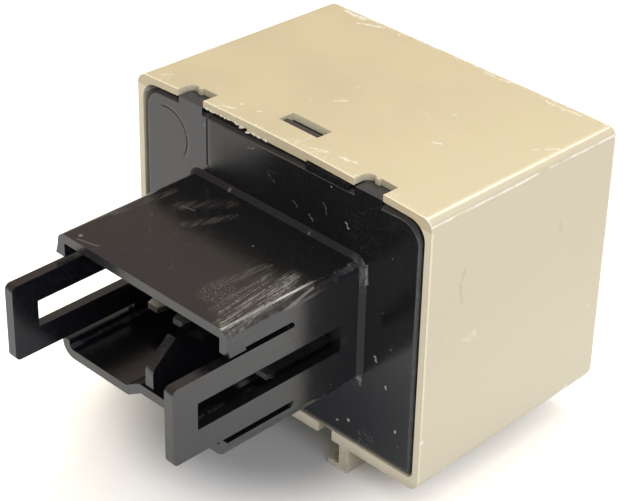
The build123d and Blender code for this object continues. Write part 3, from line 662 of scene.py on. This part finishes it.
shroudLines = [  # on top of the plug, x and y in mm
    ((-7.2, -7.6, 0), (-5.7, -7.3, 0), 0.12, 0.6),
    ((12.0, -13.2, 0), (11.5, -8.2, 0), 0.12, 0.9),
    ((6.0, -13.4, 0), (6.5, -8.6, 0), 0.16, 0.25),
    ((-11.0, -15.4, 0), (-10.7, -12.8, 0), 0.20, 0.25),
    ((-9.3, -18.8, 0), (-7.2, -18.3, 0), 0.18, 0.35),
]
shroudSpots = [
    ((-9.6, -18.2, 0), 0.30, 0.9),
    ((-8.0, -10.7, 0), 0.13, 0.7),
    ((-5.9, -12.8, 0), 0.12, 0.5),
    ((-6.1, -2.3, 0), 0.24, 0.8),
    ((5.0, -2.3, 0), 0.18, 0.7),
    ((11.2, -3.2, 0), 0.20, 0.5),
    ((-7.1, -18.2, 0), 0.16, 0.5),
]
softStrokes = [  # rubbed places on top of the plug
    ((-7.4, -7.6, 0), (-4.3, -3.9, 0), 1.1, 0.5),
    ((-4.3, -9.6, 0), (-2.2, -5.2, 0), 0.8, 0.6),
    ((-10.7, -13.2, 0), (-9.9, -6.2, 0), 0.7, 0.5),
    ((5.4, -14.6, 0), (6.4, -9.4, 0), 0.9, 0.6),
]


def makeBasePlastic():
    material, shader, place = newMaterial("scuffedBlackPlastic", IOR=1.7)
    x, y, z = place.parts()
    normal = facing(place)
    fine = place.noise(2.6, 4)
    away = turnedAway(normal)
    colour = fine.step(0.35, 0.75).blend(baseLook["black"], baseLook["blackWorn"])

    edge = away.step(0.03, 0.09) * away.step(0.27, 0.22) * place.noise(0.8, 5, 0.65).step(0.47, 0.62)
    edge = edge * z.step(*basePlaces["underTabs"]).most(y.step(*basePlaces["pastPlate"]))
    rootCorner = place.spot(basePlaces["rootCorner"], baseLook["rootCornerRadius"])
    rootCorner = rootCorner * place.noise(1.6, 4, 0.7).step(0.44, 0.56) * away.step(0.05, 0.2)
    blotches = place.noise(0.55, 5, 0.7).step(0.44, 0.60)
    plateEdge = away.step(0.008, 0.03) * away.step(0.11, 0.07)
    plateEdge = plateEdge * (y + 1.8).size().step(0.6, 0.4) * x.step(*basePlaces["plateRight"])
    edge = (edge * 0.7).most(rootCorner).most(plateEdge * blotches)
    tabTop = normal[2].step(0.6, 0.9) * z.step(*basePlaces["tabTop"])
    colour = edge.most(tabTop * 0.5).blend(colour, baseLook["edgeGrey"])
    sloping = away.step(0.15, 0.22)
    root = y.step(*basePlaces["rootAhead"]) * y.step(*basePlaces["rootBehind"])  # where the plug starts
    root = root * x.size().step(*basePlaces["rootSides"]) * z.step(*basePlaces["rootBelow"])
    rounded = away.step(0.02, 0.08) * (y + 1.7).size().step(0.9, 0.7)  # edge of the plate
    inside = x.size().step(*basePlaces["insideSides"]) * y.step(*basePlaces["insideAhead"])
    inside = inside * z.step(*basePlaces["insideBelow"]) * z.step(*basePlaces["insideAbove"])

    onPlate = (y + 1.95).size().step(0.6, 0.5) * normal[1].step(-0.3, -0.8)
    onShroudTop = z.step(*basePlaces["shroudTop"]) * y.step(*basePlaces["shroudAhead"])
    onShroudTop = onShroudTop * normal[2].step(-0.1, 0.3)
    drift = x + (y + 18.9) * 0.118  # the streaks lean a little
    flat = place.stretch(1, 1, 0)
    leaning = drift.node("ShaderNodeCombineXYZ", {}, {0: drift, 1: y})
    streaks = leaning.stretch(3.4, 0.16, 1).noise(1.0, 5, 0.62)
    grain = flat.stretch(1, 0.5, 1).noise(4.2, 4, 0.7)
    ends = y.step(*basePlaces["strokeFront"]) * y.step(*basePlaces["strokeBack"])
    stroke = drift.step(*basePlaces["strokeLeft"]) * drift.step(*basePlaces["strokeRight"]) * ends
    innerEnds = y.step(*basePlaces["innerFront"]) * y.step(*basePlaces["innerBack"])
    inner = drift.step(*basePlaces["innerLeft"]) * drift.step(*basePlaces["innerRight"]) * innerEnds
    silver = stroke * (streaks.step(0.44, 0.62) * grain.step(0.36, 0.62) * 0.8 + 0.05)
    silver = silver.most(stroke * streaks.step(0.56, 0.64) * 0.9)
    silver = silver.most(inner * (streaks.step(0.48, 0.62) * grain.step(0.40, 0.6) * 0.4 + 0.05))
    speckled = flat.spot(basePlaces["speckles"], baseLook["speckleRadius"])
    speckled = speckled * flat.noise(5.0, 3, 0.8).step(0.50, 0.66) * 0.45
    rubbed = flat.marks(softStrokes, [], (1, 1, 0))
    brushed = leaning.stretch(2.1, 0.34, 1).noise(1.0, 5, 0.6)
    rubbed = rubbed * brushed.step(0.36, 0.76) * 0.34
    strokes = place.marks(shroudLines, shroudSpots, (1, 1, 0)) * 0.6
    scuffs = silver.most(speckled).most(rubbed).most(strokes) * onShroudTop
    armRub = place.spot(basePlaces["armRub"], baseLook["armRubRadius"])
    armRub = armRub * away.step(0.0, 0.05) * grain.step(0.35, 0.6) * 0.7
    scuffs = scuffs.most(armRub)
    colour = scuffs.blend(colour, baseLook["scuffed"])

    jitter = place.noise(2.0, 3, 0.6) - 0.5
    shift = jitter.node("ShaderNodeCombineXYZ", {}, {0: jitter * 0.7, 1: jitter, 2: jitter * 0.7})
    shaken = place.vector("ADD", shift)
    dust = shaken.marks(plateLines, plateSpots, (1, 0, 1)) * onPlate
    smudged = place.spot(basePlaces["lowSmudge"], 1.8)
    smudged = smudged.most(place.spot(basePlaces["highSmudge"], 3.2) * 0.18)
    smudge = smudged * place.noise(3.0, 5, 0.75).step(0.52, 0.66) * 0.3
    nicks = place.nicks(0.33, 0.035) * place.noise(0.25, 2).step(0.45, 0.6) * 0.55
    dashes = place.stretch(1, 1, 0.35).nicks(0.42, 0.045) * onPlate
    dashes = dashes * z.step(*basePlaces["dashesAbove"]) * 0.28
    dust = dust.most(smudge).most(nicks).most(dashes)
    colour = dust.blend(colour, baseLook["dust"])

    fromRing = place.vector("SUBTRACT", (baseLook["ringX"], 0, baseLook["ringZ"])).stretch(1, 0, 1)
    ring = fromRing.vector("LENGTH", output=1).band(baseLook["ringRadius"], 0.22)
    across, _, above = fromRing.parts()
    ring = ring * (across + above * 0.7).step(0.4, 2.2) * onPlate
    groove = x.band(baseLook["grooveX"], 0.34) * z.step(*basePlaces["grooveAbove"]) * onPlate
    # painted shade in the ejector ring and the groove
    colour = (ring.most(groove) * 0.9).blend(colour, (0.001, 0.001, 0.001, 1))
    feed(shader, "Base Color", colour)

    hair = place.stretch(1, 0.22, 1).hairlines(0.3, 0.0012)
    panel = onPlate * x.step(*basePlaces["panelRight"]) * x.step(*basePlaces["panelLeft"])
    panel = panel * z.step(*basePlaces["panelAbove"])
    rough = fine * 0.12 + 0.13 + scuffs * 0.35 + dust * 0.4 + edge * 0.2 + rubbed * 0.7 + hair * 0.05
    rough = rough + (sloping * root * 0.9).most(sloping * 0.2) + panel * 0.30
    rough = rough + rounded * 0.12 + inside * sloping * 0.45
    feed(shader, "Roughness", rough.most(0.12).least(0.8))
    carved = groove * 0.35 + ring * 0.12
    height = place.noise(0.9, 3) * 0.006 - carved - scuffs * grain * 0.03 - hair * 0.004 + dust * 0.01
    emboss(shader, height)
    return material


dress(basePiece, makeBasePlastic())
print("plastics mixed")


# metals

metals = {  # pale tone, deep tone, roughness, brush marks along x, y, z
    "tinned_brass": ((0.60, 0.62, 0.60, 1), (0.44, 0.46, 0.44, 1), 0.32, (6, 0.35, 6)),
    "plated_iron": ((0.62, 0.60, 0.55, 1), (0.48, 0.46, 0.41, 1), 0.34, (2, 2, 0.4)),
    "spring_bronze": ((0.70, 0.46, 0.24, 1), (0.56, 0.34, 0.16, 1), 0.30, (7, 0.4, 7)),
    "contact_silver": ((0.80, 0.79, 0.76, 1), (0.58, 0.56, 0.52, 1), 0.22, (2, 2, 2)),
    "spring_steel": ((0.56, 0.56, 0.58, 1), (0.42, 0.42, 0.43, 1), 0.26, (7, 1, 0.4)),
    "shunt_wire": ((0.58, 0.47, 0.36, 1), (0.45, 0.35, 0.26, 1), 0.33, (3, 3, 0.6)),
}


metalMarks = {
    "shearedBrass": (0.62, 0.45, 0.20, 1),
    "brightTip": (0.93, 0.93, 0.91, 1),
    "tipAhead": (-10.0, -10.9),
    "stain": 0.6,
}


def makeMetal(slot):
    pale, deep, roughness, brush = metals[slot]
    name = slot.replace("_", " ").title().replace(" ", "")
    material, shader, place = newMaterial(name, Metallic=1.0)
    clouded = place.noise(0.6, 3)
    lines = place.stretch(*brush).noise(1.2, 4, 0.6)
    stained = place.noise(1.7, 5, 0.7).step(0.56, 0.72)
    colour = (clouded * 0.5 + lines * 0.5).step(0.35, 0.65).blend(pale, deep)
    worn = turnedAway(facing(place)).step(0.01, 0.06) * place.noise(2, 3).step(0.4, 0.6)
    if slot == "tinned_brass":
        colour = (worn * 0.5).blend(colour, metalMarks["shearedBrass"])
        # painted highlight on the blade tips
        tipHighlights = place.parts()[1].step(*metalMarks["tipAhead"])
        colour = tipHighlights.blend(colour, metalMarks["brightTip"])
    stain = tuple(part * metalMarks["stain"] for part in deep[:3]) + (1,)
    colour = (stained * 0.25).blend(colour, stain)
    feed(shader, "Base Color", colour)
    feed(shader, "Roughness", lines * 0.16 + stained * 0.12 + (roughness - 0.08))
    emboss(shader, lines * 0.004 + place.noise(5, 2) * 0.002)
    return material


wireLook = {
    "pitch": 0.16,
    "enamel": (0.50, 0.20, 0.075, 1),
    "enamelDeep": (0.36, 0.12, 0.04, 1),
    "between": (0.12, 0.035, 0.012, 1),
}


def makeWire():
    material, shader, place = newMaterial("enamelledCopper", Metallic=0.85)
    turns = place.parts()[2].ripple(wireLook["pitch"])
    shade = place.stretch(1, 1, 6).noise(1.2, 3)
    colour = shade.step(0.35, 0.7).blend(wireLook["enamel"], wireLook["enamelDeep"])
    # painted shade in the grooves between the turns
    colour = (turns.step(-0.2, -0.9) * 0.6).blend(colour, wireLook["between"])
    feed(shader, "Base Color", colour)
    feed(shader, "Roughness", shade * 0.15 + 0.24)
    emboss(shader, turns * 0.03)
    return material


# plastics, laminate and coated parts inside

nylonLook = {
    "nylon": (0.72, 0.70, 0.62, 1),
    "nylonDeep": (0.64, 0.61, 0.52, 1),
    "scorched": (0.42, 0.32, 0.20, 1),
}


def makeNylon():
    material, shader, place = newMaterial("naturalNylon", IOR=1.5)
    cloudy = place.noise(0.7, 3)
    colour = cloudy.step(0.35, 0.7).blend(nylonLook["nylon"], nylonLook["nylonDeep"])
    scorched = place.noise(0.35, 3).step(0.58, 0.75)
    colour = (scorched * 0.2).blend(colour, nylonLook["scorched"])
    feed(shader, "Base Color", colour)
    feed(shader, "Roughness", cloudy * 0.2 + 0.36)
    emboss(shader, place.noise(4, 3) * 0.004)
    return material


boardLook = {
    "varnish": (0.020, 0.090, 0.035, 1),
    "varnishDeep": (0.012, 0.065, 0.026, 1),
    "overCopper": (0.045, 0.150, 0.050, 1),
    "tin": (0.55, 0.55, 0.53, 1),
    "glass": (0.50, 0.46, 0.28, 1),
    "under": 9.0,
    "weave": 0.5,
    "padSpread": 1.35,
}
padPlaces = [  # distance from the middle, setback, radius, in mm, on both sides
    (4.0, 2.65, 0.95), (7.75, 2.65, 0.95), (4.0, 5.25, 0.95), (7.75, 5.25, 0.95),  # blades
    (10.2, 6.55, 0.62), (10.2, 7.85, 0.62),  # contact posts
    (3.8, 9.44, 0.75), (3.8, 11.98, 0.75), (3.8, 14.52, 0.75), (3.8, 17.06, 0.75),  # chip
    (2.2, 6.65, 0.95), (1.0, 21.25, 0.7),  # shunt and capacitor
    (13.5, 2.15, 0.68), (13.5, 9.55, 0.85),  # resistors
    (6.9, 22.9, 0.8), (13.5, 22.9, 0.8),  # diodes
    (7.0, 15.45, 1.15), (13.4, 15.45, 1.15),  # pegs of the yokes
]


def makeBoard():
    material, shader, place = newMaterial("varnishedLaminate", IOR=1.52)
    x, y, _ = place.parts()
    weave = x.ripple(boardLook["weave"]) * y.ripple(boardLook["weave"])
    clouded = place.noise(0.3, 3).step(0.35, 0.7)
    colour = clouded.blend(boardLook["varnish"], boardLook["varnishDeep"])
    tracks = place.stretch(1, 1, 0).noise(0.14, 0).ripple(0.16).step(-0.2, 0.2)
    colour = tracks.blend(colour, boardLook["overCopper"])
    mirrored = x.node("ShaderNodeCombineXYZ", {}, {0: x.size(), 1: y})
    pads = x * 0
    for acrossX, setback, radius in padPlaces:
        pads = pads.most(mirrored.spot((acrossX, setback, 0), radius * boardLook["padSpread"]))
    pads = pads.step(0.45, 0.55)
    cutSide = facing(place)[2].size().step(0.7, 0.4)
    colour = pads.blend(colour, boardLook["tin"])
    colour = cutSide.blend(colour, boardLook["glass"])
    feed(shader, "Base Color", colour)
    feed(shader, "Metallic", pads * (1 - cutSide))
    feed(shader, "Roughness", cutSide * 0.35 + pads * 0.12 + 0.22)
    emboss(shader, weave * 0.003 + tracks * 0.03 + pads * 0.02)
    return material


partLook = {  # colours of the parts on the board, and places in mm
    "epoxy": (0.020, 0.020, 0.022, 1),
    "epoxyPale": (0.032, 0.032, 0.034, 1),
    "leg": (0.60, 0.60, 0.58, 1),
    "chipSides": (3.22, 3.26),
    "chipUnder": (11.05, 11.0),
    "sleeve": (0.012, 0.016, 0.045, 1),
    "sleevePale": (0.018, 0.024, 0.060, 1),
    "stripe": (0.45, 0.47, 0.52, 1),
    "can": (0.70, 0.70, 0.71, 1),
    "canCross": (0.2, 0.2, 0.2, 1),
    "canMiddle": 21.25,
    "canTop": (18.72, 18.75),
    "canRim": (2.25, 2.2),
    "canLeads": (10.72, 10.68),
    "lacquer": (0.62, 0.46, 0.24, 1),
    "lacquerDeep": (0.54, 0.39, 0.19, 1),
    "lead": (0.62, 0.62, 0.60, 1),
    "resistorMiddle": 5.85,
    "resistorEnds": (2.84, 2.78),
    "diode": (0.018, 0.018, 0.019, 1),
    "diodePale": (0.030, 0.030, 0.031, 1),
    "diodeRing": (0.55, 0.55, 0.54, 1),
    "diodeMiddle": 10.2,
    "diodeEnds": (1.84, 1.78),
    "ringPlace": 1.15,
    "ringEdge": (0.32, 0.28),
    "leadsBelow": (10.6, 10.7),
}


def makeChip():
    material, shader, place = newMaterial("mouldedEpoxy", IOR=1.5)
    x, _, z = place.parts()
    leg = x.size().step(*partLook["chipSides"]).most(z.step(*partLook["chipUnder"]))
    grit = place.noise(6, 3, 0.7)
    colour = grit.step(0.3, 0.7).blend(partLook["epoxy"], partLook["epoxyPale"])
    colour = leg.blend(colour, partLook["leg"])
    feed(shader, "Base Color", colour)
    feed(shader, "Metallic", leg)
    feed(shader, "Roughness", grit * 0.15 + 0.42 - leg * 0.2)
    emboss(shader, grit * 0.010 * (1 - leg))
    return material


def makeCapacitor():
    material, shader, place = newMaterial("sleevedCan", IOR=1.5)
    x, y, z = place.parts()
    back = y - partLook["canMiddle"]
    fromMiddle = place.vector("SUBTRACT", (0, partLook["canMiddle"], 0)).stretch(1, 1, 0)
    outward = fromMiddle.vector("LENGTH", output=1)
    bare = z.step(*partLook["canTop"]) * outward.step(*partLook["canRim"])
    leads = z.step(*partLook["canLeads"])
    stripe = (x + 1.3).size().step(0.75, 0.7) * back.step(0, 0.1)
    grit = place.noise(3, 4)
    colour = grit.step(0.35, 0.7).blend(partLook["sleeve"], partLook["sleevePale"])
    colour = stripe.blend(colour, partLook["stripe"])
    colour = bare.most(leads).blend(colour, partLook["can"])
    # painted shade in the scored cross on top of the can
    cross = x.size().step(0.14, 0.08).most(back.size().step(0.14, 0.08)) * bare
    colour = (cross * 0.6).blend(colour, partLook["canCross"])
    feed(shader, "Base Color", colour)
    feed(shader, "Metallic", bare.most(leads))
    feed(shader, "Roughness", grit * 0.12 + 0.26)
    emboss(shader, grit * 0.004 - cross * 0.05)
    return material


resistorBands = [  # place along the body in mm, paint
    (-1.9, (0.25, 0.10, 0.04, 1)),
    (-0.9, (0.02, 0.02, 0.02, 1)),
    (0.1, (0.55, 0.10, 0.05, 1)),
    (1.9, (0.60, 0.42, 0.12, 1)),
]


def makeResistor():
    material, shader, place = newMaterial("lacqueredResistor", IOR=1.5)
    _, y, z = place.parts()
    along = y - partLook["resistorMiddle"]
    body = along.size().step(*partLook["resistorEnds"]) * z.step(*partLook["leadsBelow"])
    grit = place.noise(2.5, 4)
    colour = grit.step(0.35, 0.7).blend(partLook["lacquer"], partLook["lacquerDeep"])
    for middle, paint in resistorBands:
        colour = (along - middle).size().step(0.30, 0.26).blend(colour, paint)
    colour = body.blend(partLook["lead"], colour)
    feed(shader, "Base Color", colour)
    feed(shader, "Metallic", 1 - body)
    feed(shader, "Roughness", grit * 0.12 + 0.28)
    emboss(shader, grit * 0.008)
    return material


def makeDiode():
    material, shader, place = newMaterial("mouldedDiode", IOR=1.5)
    x, _, z = place.parts()
    along = x.size() - partLook["diodeMiddle"]
    body = along.size().step(*partLook["diodeEnds"]) * z.step(*partLook["leadsBelow"])
    ringed = (along - partLook["ringPlace"]).size().step(*partLook["ringEdge"])
    grit = place.noise(4, 3)
    colour = grit.step(0.35, 0.7).blend(partLook["diode"], partLook["diodePale"])
    colour = ringed.blend(colour, partLook["diodeRing"])
    colour = body.blend(partLook["lead"], colour)
    feed(shader, "Base Color", colour)
    feed(shader, "Metallic", 1 - body)
    feed(shader, "Roughness", grit * 0.15 + 0.32)
    emboss(shader, grit * 0.006)
    return material


# return springs, riveted to the yoke: merged copies of the strips

springBend = {
    "relayOffset": 0.0102,
    "legSetback": 0.0240,
    "stillBelow": 0.0212,
    "followsAbove": 0.0236,
    "bevel": 0.00003,
}
springs = []
for side, turned in (("left", -1), ("right", 1)):
    strip = mergedCopy("return_spring_" + side, side + "ReturnSpring",
                       bevel=springBend["bevel"], segments=1)
    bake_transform(strip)
    springs.append(strip)


# solder joints under the board

solderRings = [(1.0, 0.0), (0.72, 0.14), (0.52, 0.34), (0.42, 0.62)]  # share of radius, height in mm
solderLook = {
    "bright": (0.74, 0.74, 0.73, 1),
    "dull": (0.52, 0.52, 0.51, 1),
}


def addSolder():
    joints = []
    for acrossX, setback, radius in padPlaces:
        for side in (-1, 1):
            bpy.ops.object.select_all(action="DESELECT")
            centre = (side * acrossX / 1000, setback / 1000, boardLook["under"] / 1000)
            bpy.ops.mesh.primitive_circle_add(
                vertices=20, radius=radius / 1000, fill_type="NGON", location=centre)
            bpy.ops.object.mode_set(mode="EDIT")
            bpy.ops.mesh.select_all(action="SELECT")
            for (wide, low), (narrow, high) in zip(solderRings, solderRings[1:]):
                drop = (low - high) / 1000
                bpy.ops.mesh.extrude_region_move(TRANSFORM_OT_translate={"value": (0, 0, drop)})
                share = narrow / wide
                middle = (centre[0], centre[1], centre[2] - high / 1000)
                bpy.ops.transform.resize(value=(share, share, 1), center_override=middle)
            bpy.ops.mesh.select_all(action="SELECT")
            bpy.ops.mesh.normals_make_consistent(inside=False)
            bpy.ops.object.mode_set(mode="OBJECT")
            bpy.ops.object.transform_apply(location=True, rotation=True, scale=True)
            joints.append(bpy.context.object)
    bpy.ops.object.select_all(action="DESELECT")
    for joint in joints:
        joint.select_set(True)
    bpy.context.view_layer.objects.active = joints[0]
    bpy.ops.object.join()
    solder = bpy.context.object
    solder.name = "solderJoints"
    bpy.ops.object.shade_smooth_by_angle(angle=radians(50))
    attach(solder, "housing")
    return solder


def makeSolder():
    material, shader, place = newMaterial("cooledSolder", Metallic=1.0)
    dull = place.noise(1.4, 4, 0.6)
    colour = dull.step(0.35, 0.65).blend(solderLook["bright"], solderLook["dull"])
    feed(shader, "Base Color", colour)
    feed(shader, "Roughness", dull * 0.3 + 0.14)
    emboss(shader, place.noise(3, 3) * 0.01)
    return material


dress(addSolder(), makeSolder())


# inner parts: each material slot of the record gets its material once

makers = {
    "bobbin_plastic": makeNylon,
    "board_laminate": makeBoard,
    "copper_wire": makeWire,
    "chip_plastic": makeChip,
    "capacitor_can": makeCapacitor,
    "resistor_coat": makeResistor,
    "diode_body": makeDiode,
}
finished = {}
for part in frame["record"]["subparts"]:
    slot = part["material_slot"]
    if slot in ("cover_plastic", "base_plastic"):
        continue
    if slot not in finished:
        finished[slot] = makeMetal(slot) if slot in metals else makers[slot]()
    frame["nodes"][part["node"]].material_slots[0].material = finished[slot]
for strip in springs:
    dress(strip, finished["spring_steel"])
print("inner parts finished:", sorted(finished))
